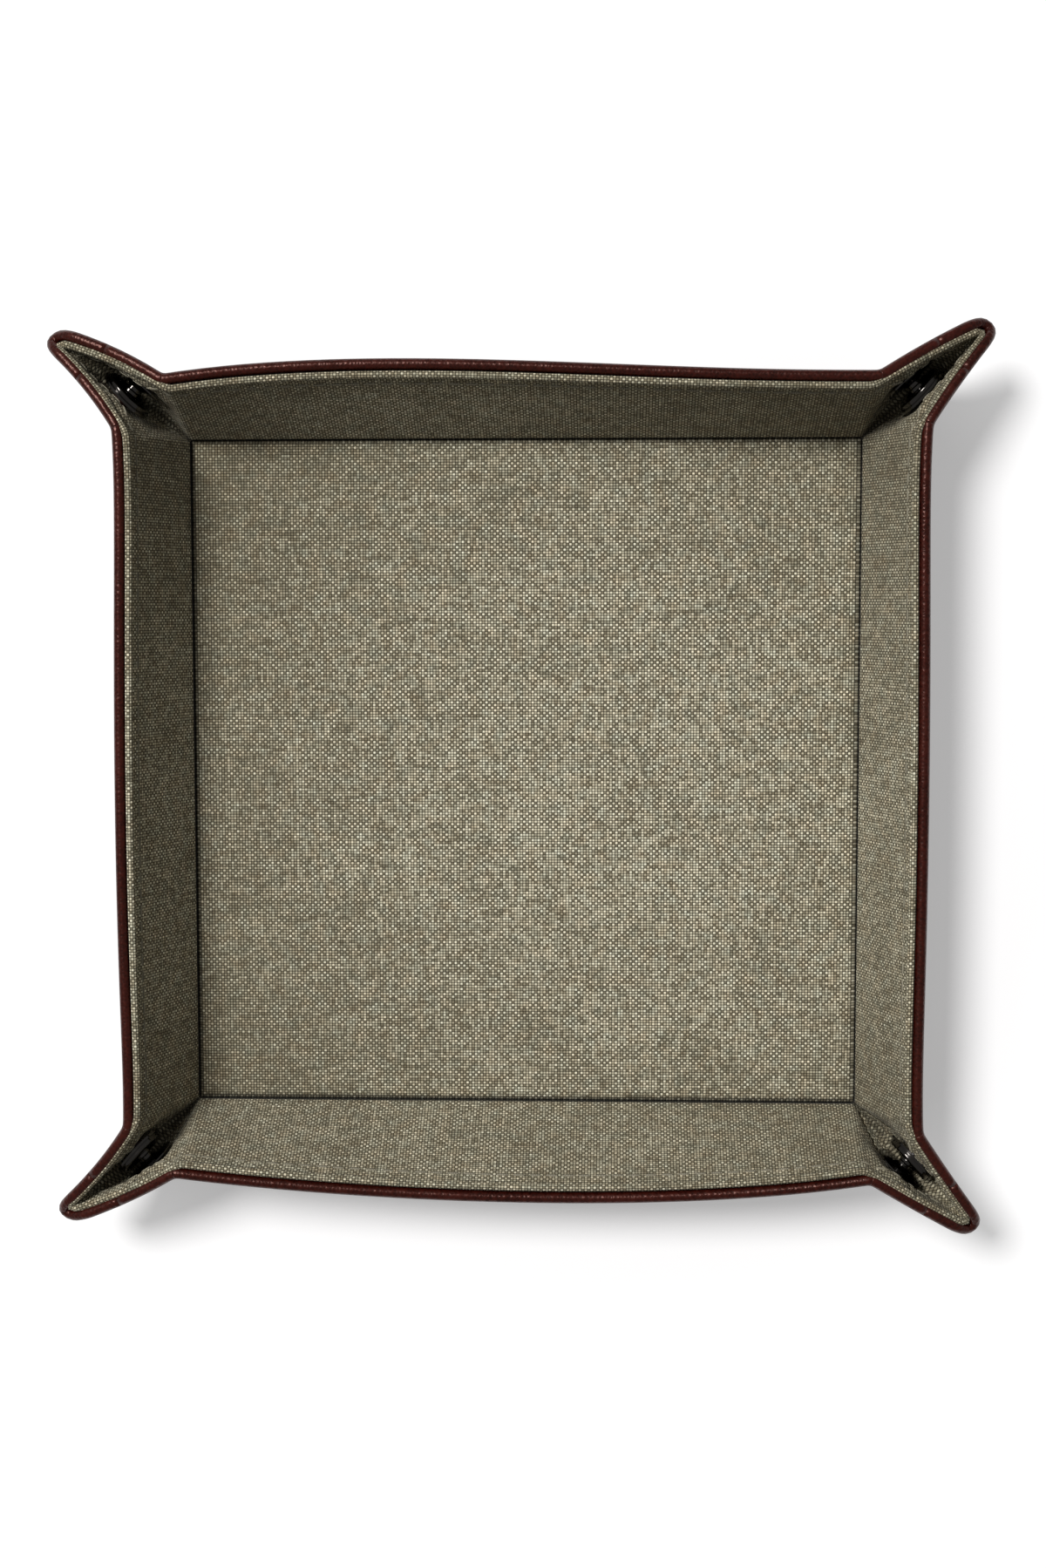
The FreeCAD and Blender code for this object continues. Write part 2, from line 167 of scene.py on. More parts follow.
# %% The rounded fold
DISC = [(0.0, 0.0)]
for ring, count in ((0.5, 6), (1.0, 10)):
    for step in range(count):
        turn = 2 * math.pi * (step + 0.5 * ring) / count
        DISC.append((ring * math.cos(turn), ring * math.sin(turn)))
# The disc's radius at a crease, and how much it grows with the way to the rim
CREASE_ROUND, RIM_ROUND = 0.7, 0.025


def rounded_fold(x, y, span, level):
    """The sharp fold, averaged over a disc that grows from the creases to the rim."""
    rise = np.maximum(np.maximum(np.abs(x), np.abs(y)) - span, 0)
    radius = CREASE_ROUND + RIM_ROUND * rise
    total = 0
    for dx, dy in DISC:
        total = total + sharp_fold(x + dx * radius, y + dy * radius, span, level)
    return total / len(DISC)


print("averaged over a disc of", len(DISC), "points")

# %% [markdown]
# The two halves of an ear don't lie flat on each other: they open as a V. A snap needs seats that face each
# other, so the leather and the lining are pressed to a tilt round it. Between the base and the walls the lining
# is glued down into the gap of the boards, which leaves a narrow groove. In the ears, which have no boards, it
# sinks to the leather.

# %% Seats and grooves
# Where a snap sits on the flat ear, measured from the two creases
SNAP_OUT, SNAP_UP = 7.79, 18.81
SEAT_TILT = math.tan(math.radians(12))
# How far a seat is flat, where it has faded out, and how far outside the ear it may start
SEAT_FLAT, SEAT_FADE, SEAT_MARGIN = 5.8, 9.4, 2.0
# The lining lies inside the leather, so its seats lie elsewhere on its flat sheet
SEAT_SHIFTS = {LEATHER_SPAN: (0.0, 0.0), LINING_SPAN: (2.25, -1.4)}
# The groove ends at the corners. In an ear the lining sinks over one way in, and comes up again at the rim
GROOVE_DEPTH, GROOVE_WIDTH, GROOVE_END = 0.8, 0.55, (-0.5, 0.8)
EAR_SINK, SINK_START, SINK_END = 1.05, (0.0, 6.5), (19.5, 23.5)


def smooth_step(low, high, amount):
    """A share from 0 to 1, eased at both ends."""
    t = np.clip((amount - low) / (high - low), 0, 1)
    return t * t * (3 - 2 * t)


def seat_press(x, y, span):
    """How far the sheet is pressed along its normal to seat a snap."""
    shift_out, shift_up = SEAT_SHIFTS[span]
    u, v = np.abs(x) - span, np.abs(y) - span
    out, up = np.minimum(u, v) - shift_out, np.maximum(u, v) - shift_up
    reach = np.hypot(out - SNAP_OUT, up - SNAP_UP)
    towards_fold = (out - up + SNAP_UP - SNAP_OUT) / math.sqrt(2)
    held = 1 - smooth_step(SEAT_FLAT, SEAT_FADE, reach)
    return -SEAT_TILT * towards_fold * held * (np.minimum(u, v) > -SEAT_MARGIN)


def groove(x, y, span):
    """How deep the lining lies between the boards, and in the ears."""
    if span == LEATHER_SPAN:
        return 0.0
    low = np.minimum(np.abs(x), np.abs(y)) - span
    high = np.maximum(np.abs(x), np.abs(y)) - span
    crease = GROOVE_DEPTH * np.exp(-(high / GROOVE_WIDTH) ** 2) * (1 - smooth_step(*GROOVE_END, low))
    ear = EAR_SINK * smooth_step(*SINK_START, low) * (1 - smooth_step(*SINK_END, high))
    return -crease - ear


print("a seat is pressed by up to", round(SEAT_TILT * SEAT_FLAT, 2), "mm where it is flat")

# %% [markdown]
# A point may also stand off the sheet, as the rim's bead and the stitches do, so the rule needs the sheet's
# normal. Two near points on the folded sheet give it, by the cross product of the steps to them.

# %% Fold anything
NORMAL_STEP = 0.05


def fold_points(points, span, level):
    """Flat points (x, y, height off the sheet) to their places in the tray, in metres."""
    points = np.asarray(points, float)
    x, y, lift = points[:, 0], points[:, 1], points[:, 2]
    middle = rounded_fold(x, y, span, level)
    normal = np.cross(rounded_fold(x + NORMAL_STEP, y, span, level) - middle,
                      rounded_fold(x, y + NORMAL_STEP, span, level) - middle)
    normal /= np.linalg.norm(normal, axis=1, keepdims=True)
    stand = (lift + seat_press(x, y, span) + groove(x, y, span))[:, None]
    return (middle + normal * stand) * MM


def fold_mesh(bm, span, level):
    """Fold the vertices of a mesh that was laid out flat."""
    for vert, place in zip(bm.verts, fold_points([v.co for v in bm.verts], span, level)):
        vert.co = place


tip = LEATHER_SPAN + TIP_REACH
print("rear right tip of the leather at",
      np.round(fold_points([[tip, tip, 0]], LEATHER_SPAN, LEATHER_LEVEL)[0] / MM, 1), "mm")

# %% [markdown]
# ## The sheets, laid out flat
# A grid is the right start for cloth and leather, because its lines can follow the creases. The grid's lines
# are drawn close together at the creases and far apart on the plain base. Its square corners are then pulled
# in to a round, so that the rim stays one clean ring of edges, ready to be extruded into a bead.

# %% A flat sheet
# Where the spacing of the lines changes, measured from the crease, and the spacing on the way there
SPACINGS = ((-4, 4.6), (-1, 1.0), (1, 0.25), (5, 0.8))
EDGE_SPACING = 1.1
CUT_DIST, ROUNDING = 1e-5, 1e-9
# How far each sheet reaches from its middle, and the radius of its corners
LEATHER_EDGE, LEATHER_CORNER = LEATHER_SPAN + 27.8, 7.8
LINING_EDGE, LINING_CORNER = LINING_SPAN + 25.3, 1.6


def spaced(start, end, step):
    """Stations from start to end, no further apart than step, without the end."""
    count = max(1, math.ceil((end - start) / step - ROUNDING))
    return [start + (end - start) * i / count for i in range(count)]


def stations(span, reach):
    """Grid lines from one edge to the other, crowded at the creases."""
    line, start = [], 0
    for offset, step in SPACINGS:
        line += spaced(start, span + offset, step)
        start = span + offset
    line += spaced(start, reach, EDGE_SPACING) + [reach]
    return [-s for s in line[:0:-1]] + line


def flat_sheet(span, reach, corner_radius):
    """A flat square sheet with round corners, cut along the diagonals of its ears."""
    line = stations(span, reach)
    last = len(line) - 1
    bm = bmesh.new()
    laid = bm.verts.layers.float_vector.new("laid")
    bmesh.ops.create_grid(bm, x_segments=last, y_segments=last, size=1.0)
    for vert in bm.verts:
        vert.co = (line[round((vert.co.x + 1) / 2 * last)], line[round((vert.co.y + 1) / 2 * last)], 0)
    for side, end in TIP_LEANS:
        ear = [face for face in bm.faces if face.calc_center_median().x * side > span
               and face.calc_center_median().y * end > span]
        edges = list(dict.fromkeys(edge for face in ear for edge in face.edges))
        points = list(dict.fromkeys(vert for face in ear for vert in face.verts))
        bmesh.ops.bisect_plane(bm, geom=points + edges + ear, dist=CUT_DIST, plane_co=(0, 0, 0),
                               plane_no=(side, -end, 0))
    start = reach - corner_radius
    for vert in bm.verts:
        a, b = (abs(vert.co.x) - start) / corner_radius, (abs(vert.co.y) - start) / corner_radius
        if a > 0 and b > 0:
            vert.co.x = math.copysign(start + corner_radius * a * math.sqrt(1 - b * b / 2), vert.co.x)
            vert.co.y = math.copysign(start + corner_radius * b * math.sqrt(1 - a * a / 2), vert.co.y)
    for vert in bm.verts:
        vert[laid] = vert.co
    return bm


leather_flat = flat_sheet(LEATHER_SPAN, LEATHER_EDGE, LEATHER_CORNER)
lining_flat = flat_sheet(LINING_SPAN, LINING_EDGE, LINING_CORNER)
print("sheets of", len(leather_flat.faces), "and", len(lining_flat.faces), "faces before the rims are turned")

# %% [markdown]
# The rim is made by extruding the sheet's boundary ring, again and again, each time a little further round a
# circle. That is how a bound edge is made on the bench as well: the leather is turned over a cord and glued
# down. Each new ring also remembers where it would lie if the rim were unrolled, so that the weave isn't
# stretched.

# %% Turn the rim over
# The radius of each bead, and its first angle, its last angle and its steps
LEATHER_BEAD, LEATHER_TURN = 1.2, (-90, 200, 12)
LINING_BEAD, LINING_TURN = 0.8, (180, -60, 9)
DIGITS = 5


def place_key(vert):
    """A vertex's place as a key, to find the vertex that it was extruded from."""
    return tuple(round(c, DIGITS) for c in vert.co)


def turn_rim(bm, reach, corner_radius, bead, first, last, steps):
    """Extrude the boundary ring round a bead, from the first angle to the last, in degrees."""
    laid = bm.verts.layers.float_vector["laid"]
    start = reach - corner_radius
    ring = [edge for edge in bm.edges if edge.is_boundary]
    homes = {}
    for vert in dict.fromkeys(vert for edge in ring for vert in edge.verts):
        anchor = Vector((max(-start, min(start, vert.co.x)), max(-start, min(start, vert.co.y)), vert.co.z))
        homes[vert] = (vert.co.copy(), (vert.co - anchor).normalized())
    first, last = math.radians(first), math.radians(last)
    for step in range(1, steps + 1):
        turn = first + (last - first) * step / steps
        grown = bmesh.ops.extrude_edge_only(bm, edges=ring)["geom"]
        fresh = [item for item in grown if isinstance(item, bmesh.types.BMVert)]
        ring = [item for item in grown if isinstance(item, bmesh.types.BMEdge)]
        known = {place_key(old): home for old, home in homes.items()}
        homes = {vert: known[place_key(vert)] for vert in fresh}
        for vert, (home, outward) in homes.items():
            vert.co = home + outward * (math.cos(turn) - math.cos(first)) * bead
            vert.co.z = home.z + (math.sin(turn) - math.sin(first)) * bead
            vert[laid] = home + outward * bead * abs(turn - first)


bmesh.ops.translate(leather_flat, vec=(0, 0, -LEATHER_BEAD), verts=leather_flat.verts)
turn_rim(leather_flat, LEATHER_EDGE, LEATHER_CORNER, LEATHER_BEAD, *LEATHER_TURN)
bmesh.ops.reverse_faces(leather_flat, faces=leather_flat.faces[:])
turn_rim(lining_flat, LINING_EDGE, LINING_CORNER, LINING_BEAD, *LINING_TURN)
print("sheets of", len(leather_flat.faces), "and", len(lining_flat.faces), "faces with their rims")

# %% [markdown]
# ## Folding the sheets and giving them to the bodies
# The model's bodies are the base, four walls and the eight halves of the ears. Each sheet is folded whole, so
# that neighbouring pieces meet exactly, and then cut into pieces along the creases. The rolled fold of an ear
# is a piece by itself, a wedge between the ear's two halves.

# %% Which body carries a point
EARS = {"front_left": (-1, -1), "front_right": (1, -1), "rear_left": (-1, 1), "rear_right": (1, 1)}
# The fold's part of an ear, as a share of the way from the diagonal to the walls
FOLD_SHARE = 0.35


def panel_of(x, y, span):
    """The body that carries a point of the flat sheet, or the fold between two halves of an ear."""
    a, b = abs(x), abs(y)
    end, side = "rear" if y > 0 else "front", "right" if x > 0 else "left"
    wall, other = (end, side) if b >= a else (side, end)
    if max(a, b) <= span:
        return "base"
    if min(a, b) <= span:
        return f"{wall}_wall"
    if abs(a - b) < FOLD_SHARE * (a + b - 2 * span):
        return f"fold_{end}_{side}"
    return f"wing_{wall}_{other}"


print("a point near the front left corner lies on", panel_of(-80, -95, LEATHER_SPAN))

# %% [markdown]
# A piece of the base, or of a left or right half of an ear, is attached to its body. For the other pieces,
# points near their crease or across their fold are found, and each piece's place is baked into its mesh.

# %% Attach pieces, and find points at the creases
WALL_WAYS = {"rear": (0, 1), "front": (0, -1), "left": (-1, 0), "right": (1, 0)}
# How far the points lie from a crease: up a wall, into an ear, and to either side of an ear's fold
WALL_TURN = 3.0
EAR_TURN = {LEATHER_SPAN: 3.0, LINING_SPAN: 1.2}
FOLD_HALF = {LEATHER_SPAN: 1.3, LINING_SPAN: 0.7}
# A height on an ear's crease, and points of an ear out from the base's corner: the corner, the tip, one on the
# fold between them, and one on either half
EAR_MARK = 12
FOLD_MARKS = ((0, 0), (24, 24), (16, 16), (11, 21), (21, 11))


def blend_fold(piece, ear, span, level):
    """Find points across an ear's fold, from the stud's half to the socket's half, and bake the piece's place.
    """
    sx, sy = EARS[ear]
    flat = [[sx * (span + u), sy * (span + v), 0] for u, v in FOLD_MARKS]
    corner, tip, nose, stud_side, socket_side = fold_points(flat, span, level)
    across = np.cross(tip - corner, (stud_side + socket_side) / 2 - nose)
    half = math.copysign(FOLD_HALF[span] * MM, across @ (socket_side - stud_side))
    across *= half / np.linalg.norm(across)
    nose - across
    nose + across
    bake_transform(piece)


def blend_over(piece, body, span, level):
    """Attach a piece of the base or of a left or right ear half to its body; for the others, find points at the
    crease and bake the piece's place.
    """
    if body.startswith("fold_"):
        blend_fold(piece, body[len("fold_"):], span, level)
        return
    if body == "base" or body.startswith(("wing_left", "wing_right")):
        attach(piece, body)
        return
    if body.endswith("_wall"):
        way_x, way_y = WALL_WAYS[body.split("_")[0]]
        flat = [[way_x * out, way_y * out, 0] for out in (span, span + WALL_TURN)]
    else:
        side, other = body.split("_")[1:]
        sx, sy = EARS[f"{side}_{other}"]
        flat = [[sx * out, sy * (span + EAR_MARK), 0] for out in (span, span + EAR_TURN[span])]
    start, end = fold_points(flat, span, level)
    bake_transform(piece)


# %% [markdown]
# Before a sheet is folded, every face corner takes its place in the flat sheet as its UV coordinates: the
# weave is drawn there later. After the fold every vertex notes its normal. A piece that is cut out keeps these
# normals, so that no seam shows where the light runs from one piece to the next.

# %% Map, fold and cut a sheet
UV_SIDE = 220.0


def sort_faces(flat, span):
    """Map the flat sheet, and sort the numbers of its faces by the body that carries them."""
    flat.verts.index_update()
    flat.faces.index_update()
    uv = flat.loops.layers.uv.new("flat")
    laid = flat.verts.layers.float_vector["laid"]
    panels = {}
    for face in flat.faces:
        middle = face.calc_center_median()
        panels.setdefault(panel_of(middle.x, middle.y, span), set()).add(face.index)
        face.smooth = True
        for loop in face.loops:
            loop[uv].uv = (loop.vert[laid].x / UV_SIDE + 0.5, loop.vert[laid].y / UV_SIDE + 0.5)
    return panels


def fold_sheet(flat, span, level):
    """Fold the whole sheet, and note the normal of each vertex."""
    facing = flat.verts.layers.float_vector.new("facing")
    fold_mesh(flat, span, level)
    flat.normal_update()
    for vert in flat.verts:
        vert[facing] = vert.normal


def new_piece(name, bm):
    """A finished mesh as an object at the origin."""
    mesh = bpy.data.meshes.new(name)
    bm.to_mesh(mesh)
    bm.free()
    piece = bpy.data.objects.new(name, mesh)
    bpy.context.scene.collection.objects.link(piece)
    return piece


def flat_area(face, laid):
    """The area of a face where it lies in the flat sheet."""
    corners = [vert[laid] for vert in face.verts]
    return sum(a.x * b.y - a.y * b.x for a, b in zip(corners, corners[1:] + corners[:1])) / 2


def cut_panel(flat, name, faces):
    """Some faces of a folded sheet as a piece, with the sides and the area that they have when flat."""
    bm = flat.copy()
    bm.faces.ensure_lookup_table()
    spare = [face for face in bm.faces if face.index not in faces]
    bmesh.ops.delete(bm, geom=spare, context="FACES")
    laid, facing = (bm.verts.layers.float_vector[layer] for layer in ("laid", "facing"))
    places = np.array([vert[laid] for vert in bm.verts])
    normals = [Vector(vert[facing]) for vert in bm.verts]
    area = sum(abs(flat_area(face, laid)) for face in bm.faces) * MM * MM
    piece = new_piece(name, bm)
    piece.data.normals_split_custom_set_from_vertices(normals)
    width, length = (places.max(axis=0) - places.min(axis=0))[:2] * MM
    return piece, (width, length), area


# %% [markdown]
# A Solidify modifier gives each piece its thickness. It stays live, so the thickness can still be changed, and
# the piece itself stays a plain sheet.

# %% Make the pieces
LEATHER_THICK, LINING_THICK = 0.9, 0.6


def thicken(piece, thickness):
    """Give a sheet its thickness, behind its faces."""
    solidify = piece.modifiers.new("thickness", "SOLIDIFY")
    solidify.thickness = thickness * MM
    solidify.offset = -1


def make_panels(layer, flat, span, level, thickness):
    """Fold a flat sheet, and cut it into one piece for each body."""
    panels = sort_faces(flat, span)
    fold_sheet(flat, span, level)
    pieces = {}
    for body, faces in panels.items():
        piece, sides, area = cut_panel(flat, f"{layer}_{body}", faces)
        thicken(piece, thickness)
        blend_over(piece, body, span, level)
        if not body.startswith("fold_"):
            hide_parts(f"{body}_{layer}")
        pieces[body] = piece
    flat.free()
    return pieces


leather = make_panels("leather", leather_flat, LEATHER_SPAN, LEATHER_LEVEL, LEATHER_THICK)
lining = make_panels("lining", lining_flat, LINING_SPAN, LINING_LEVEL, LINING_THICK)
print(len(leather), "pieces of leather and", len(lining), "of lining")

# %% [markdown]
# At each corner of the base four pieces of lining meet in one point, and they part there when the tray opens.
# On the real tray the cloth goes on underneath, so a small tongue of it is tucked in below each corner. It is a
# grid of four faces, with its outer lines raised a little and its outer corner drawn out to a tip.

# %% Corner tongues
TONGUE_STATIONS, TONGUE_TIP = (64.9, 71.7, 74.1), 76.5
TONGUE_LEVEL, TONGUE_RISE, TONGUE_THICK = 2.52, 0.44, 0.1
# The tongue's weave is taken from further in, away from the painted shade of the crease
TONGUE_CUT = 9.0

for ear, (sx, sy) in EARS.items():
    bm = bmesh.new()
    bmesh.ops.create_grid(bm, x_segments=2, y_segments=2, size=1.0)
    for vert in bm.verts:
        column, row = round(vert.co.x), round(vert.co.y)
        outer = max(column, 0) + max(row, 0)
        vert.co = (TONGUE_STATIONS[column + 1], TONGUE_STATIONS[row + 1], TONGUE_LEVEL + TONGUE_RISE * outer)
        if outer == 2:
            vert.co.x = vert.co.y = TONGUE_TIP
    uv = bm.loops.layers.uv.new("flat")
    for loop in (loop for face in bm.faces for loop in face.loops):
        loop[uv].uv = [way * (c - TONGUE_CUT) / UV_SIDE + 0.5 for way, c in zip((sx, sy), loop.vert.co.xy)]
    bmesh.ops.scale(bm, vec=(sx * MM, sy * MM, MM), verts=bm.verts)
    if sx * sy < 0:
        bmesh.ops.reverse_faces(bm, faces=bm.faces[:])
    area = sum(face.calc_area() for face in bm.faces)
    tongue = new_piece(f"lining_tongue_{ear}", bm)
    thicken(tongue, TONGUE_THICK)
    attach(tongue, "base")
    side = (TONGUE_TIP - TONGUE_STATIONS[0]) * MM
    lining[f"tongue_{ear}"] = tongue
print(len(EARS), "tongues under the corners")

# %% [markdown]
# ## The boards
# A stiff board lies in each wall, between the leather and the lining, and takes the same bow. A cube is cut
# across its length so that it can bend, and folded with the sheets.

# %% Wall boards
BOARD_LENGTH, BOARD_FOOT, BOARD_TOP, BOARD_THICK = 143.0, 1.2, 22.8, 1.1
BOARD_CUTS = 35
WALL_TURNS = {"rear": 0.0, "left": 90.0, "front": 180.0, "right": 270.0}

boards = {}
for side, turn in WALL_TURNS.items():
    bm = bmesh.new()
    bmesh.ops.create_cube(bm, size=1.0)
    bmesh.ops.scale(bm, vec=(BOARD_LENGTH, BOARD_TOP - BOARD_FOOT, BOARD_THICK), verts=bm.verts)
    long_edges = [edge for edge in bm.edges if edge.verts[0].co.x * edge.verts[1].co.x < 0]
    bmesh.ops.subdivide_edges(bm, edges=long_edges, cuts=BOARD_CUTS, use_grid_fill=True)
    middle = (0, LEATHER_SPAN + (BOARD_FOOT + BOARD_TOP) / 2, BOARD_THICK / 2)
    bmesh.ops.translate(bm, vec=middle, verts=bm.verts)
    bmesh.ops.rotate(bm, cent=(0, 0, 0), matrix=Matrix.Rotation(math.radians(turn), 3, "Z"), verts=bm.verts)
    fold_mesh(bm, LEATHER_SPAN, LEATHER_LEVEL)
    boards[side] = new_piece(f"board_{side}_wall", bm)
    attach(boards[side], f"{side}_wall")
    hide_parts(f"{side}_wall_board")
print(len(boards), "wall boards")

# %% [markdown]
# ## Stitches
# A row of thread runs round the rim, through the lining and the leather. Each stitch is a small ball, stretched
# to a bean, and laid out flat on its sheet before it is folded with it.

# %% Where the stitches lie
STITCH_PITCH, STITCH_LENGTH, STITCH_WIDTH, STITCH_RISE = 3.5, 2.7, 0.62, 0.42


def stitch_places(edge, corner_radius):
    """Points and directions at an even pitch round a square with round corners."""
    run, arc = 2 * (edge - corner_radius), math.pi / 2 * corner_radius
    count = round(4 * (run + arc) / STITCH_PITCH)
    start = edge - corner_radius
    for number in range(count):
        quarter, way = divmod((number + 0.5) * 4 * (run + arc) / count, run + arc)
        if way < run:
            point, heading = Vector((way - run / 2, -edge, 0)), 0.0
        else:
            heading = (way - run) / corner_radius
            point = Vector((start + corner_radius * math.sin(heading),
                            -start - corner_radius * math.cos(heading), 0))
        turn = Matrix.Rotation(math.pi / 2 * quarter, 3, "Z")
        yield turn @ point, heading + math.pi / 2 * quarter


print(len(list(stitch_places(LINING_EDGE, LINING_CORNER))), "stitches would fit round the lining's edge")

# %% Rows of stitches
# How far a row lies from its sheet's edge, the radius of its corners, and how high it stands off its sheet
LINING_ROW, LEATHER_ROW = (2.6, 1.6, 0.05), (3.2, 4.6, -1.25)


def make_stitches(layer, span, level, edge, row):
    """One mesh of stitches for each body that the row passes over."""
    inset, corner_radius, lift = row
    meshes = {}
    for point, heading in stitch_places(edge - inset, corner_radius):
        body = panel_of(point.x, point.y, span)
        if body not in meshes:
            meshes[body] = bmesh.new()
        bm = meshes[body]
        made = bmesh.ops.create_uvsphere(bm, u_segments=8, v_segments=5, radius=0.5)["verts"]
        bmesh.ops.rotate(bm, cent=(0, 0, 0), matrix=Matrix.Rotation(math.pi / 2, 3, "Y"), verts=made)
        bmesh.ops.scale(bm, vec=(STITCH_LENGTH, STITCH_WIDTH, STITCH_RISE), verts=made)
        bmesh.ops.rotate(bm, cent=(0, 0, 0), matrix=Matrix.Rotation(heading, 3, "Z"), verts=made)
        bmesh.ops.translate(bm, vec=(point.x, point.y, lift), verts=made)
    pieces = {}
    for body, bm in meshes.items():
        fold_mesh(bm, span, level)
        for face in bm.faces:
            face.smooth = True
        pieces[body] = new_piece(f"stitches_{layer}_{body}", bm)
        if body.startswith("fold_"):
            blend_over(pieces[body], body, span, level)
        else:
            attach(pieces[body], body)
    return pieces


inner_stitches = make_stitches("lining", LINING_SPAN, LINING_LEVEL, LINING_EDGE, LINING_ROW)
outer_stitches = make_stitches("leather", LEATHER_SPAN, LEATHER_LEVEL, LEATHER_EDGE, LEATHER_ROW)
print(len(inner_stitches) + len(outer_stitches), "rows of stitches")

# %% [markdown]
# ## Materials
# Shader graphs read best as sums, so a small class wraps a node's socket and lets Python's operators add the
# Math nodes. One method makes every other kind of node.

# %% A socket that can be added up
class Socket:
    """An output of a node, extended by operators."""

    def __init__(self, tree, link):
        self.tree, self.link = tree, link

    def make(self, kind, settings=None, output=0, **values):
        """A node of any kind: its settings first, then the values or links of its inputs."""
        node = self.tree.nodes.new(kind)
        for name, value in (settings or {}).items():
            if name == "stops":
                stops = node.color_ramp.elements
                for place, (position, colour) in enumerate(value):
                    stop = stops[place] if place < 2 else stops.new(position)
                    stop.position, stop.color = position, (*colour, 1)
            else:
                setattr(node, name, value)
        for name, value in values.items():
            set_input(self.tree, node, int(name[1:]) if name[1:].isdigit() else name, value)
        return Socket(self.tree, node.outputs[output])

    def math(self, operation, *others):
        """A Math node of this value and the others."""
        values = {f"i{place}": value for place, value in enumerate((self, *others))}
        return self.make("ShaderNodeMath", {"operation": operation}, **values)

    def __add__(self, other):
        return self.math("ADD", other)

    def __mul__(self, other):
        return self.math("MULTIPLY", other)

    def __sub__(self, other):
        return self.math("SUBTRACT", other)

    def __truediv__(self, other):
        return self.math("DIVIDE", other)

    def __rsub__(self, other):
        return (self * -1) + other

    __radd__, __rmul__ = __add__, __mul__

    def blend(self, first, second):
        """A mix of two colours by this value."""
        return self.make("ShaderNodeMix", {"data_type": "RGBA"}, output=2, i0=self, i6=first, i7=second)


def set_input(tree, node, name, value):
    """Link or set an input of a node, by its number or by its name with underscores."""
    socket = node.inputs[name if isinstance(name, int) else name.replace("_", " ")]
    if isinstance(value, Socket):
        tree.links.new(value.link, socket)
    else:
        socket.default_value = value


# %% Start a material
def new_finish(name):
    """A material, its shader node, and sockets with the coordinates on the object and on the UV map."""
    finish = bpy.data.materials.new(name)
    finish.use_nodes = True
    tree = finish.node_tree
    places = tree.nodes.new("ShaderNodeTexCoord").outputs
    return finish, tree.nodes["Principled BSDF"], Socket(tree, places["Object"]), Socket(tree, places["UV"])


def feed(shader, **values):
    """Link or set inputs of the shader."""
    for name, value in values.items():
        set_input(shader.id_data, shader, name, value)


# %% [markdown]
# The lining is a plain weave: each thread passes over one and under the next. The flat sheet's UV map carries
# the pattern, so the threads follow the cloth over every crease. The whole part of a coordinate, counted in
# threads, is a thread's number, and the rest is the place across it. Each thread changes its shade along its
# length, and each crossing has a fleck of its own, which gives the heathered look.

# %% The weave
WARP_PITCH, WEFT_PITCH = 0.63, 0.58
# How far apart the threads lie in the noise that shades them, how fast they change along it, and where they
# start
THREAD_APART, THREAD_ALONG = 7.31, 0.1
WARP_START, WEFT_START = 3.0, 31.0


def thread_shade(number, along, start):
    """How light a thread is, along its length."""
    place = number.make("ShaderNodeCombineXYZ", i0=number * THREAD_APART + start, i1=along * THREAD_ALONG)
    return number.make("ShaderNodeTexNoise", {"noise_dimensions": "2D"},
                       Vector=place, Scale=1.0, Detail=2.0, Roughness=0.6)


def plain_weave(flat_x, flat_y):
    """At each crossing: how high the cloth stands, which thread is above, its shade and a fleck."""
    warp, weft = flat_x * (UV_SIDE / WARP_PITCH), flat_y * (UV_SIDE / WEFT_PITCH)
    warp_number, weft_number = warp.math("FLOOR"), weft.math("FLOOR")
    warp_round = 1 - ((warp - warp_number) * 2 - 1).math("POWER", 2.0)
    weft_round = 1 - ((weft - weft_number) * 2 - 1).math("POWER", 2.0)
    # Which thread lies above; it also sets the painted light and shade of each crossing
    over = (warp_number + weft_number).math("PINGPONG", 1.0)
    shade = over.make("ShaderNodeMix", {"data_type": "FLOAT"}, i0=over,
                      i2=thread_shade(warp_number, weft, WARP_START),
                      i3=thread_shade(weft_number, warp, WEFT_START))
    crossing = over.make("ShaderNodeCombineXYZ", i0=warp_number, i1=weft_number)
    fleck = over.make("ShaderNodeTexWhiteNoise", {"noise_dimensions": "2D"}, Vector=crossing)
    return warp_round * weft_round, over, shade, fleck


print("about", round(2 * LINING_SPAN / WARP_PITCH), "threads across the base")

# %% [markdown]
# Light and shade are painted into the cloth: lightest in the middle of the base, darker to its left and rear,
# lighter on the side walls, and painted shade along the creases and in the folds of the ears. Distances from
# the middle of the flat sheet say where that is.

# %% Painted light and shade
# The painted light and shade grows up to this share of the map from its middle
LIGHT_REACH = 0.3
# Painted light in the middle, how fast it fades to painted shade away from it, and how much lighter the side
# walls are painted than the front and rear
LIGHT_MIDDLE, LIGHT_FADE, WALL_LIGHT = 0.95, 1.9, 0.9
# How much the painted light changes to the right: more on the base, and the other way on the walls; and to the
# rear
BASE_LIGHT_RIGHT, LIGHT_RIGHT, LIGHT_REAR = 0.56, -0.12, -0.1
# Where the painted shade of a crease lies, how sharp it and the painted shade of a fold are, where that ends,
# and how dark both are
CREASE_AT, CREASE_SHARP, FOLD_SHARP, FOLD_END, CREASE_SHADE_MOST = 0.1, 1.1, 0.5, 22.0, 0.9


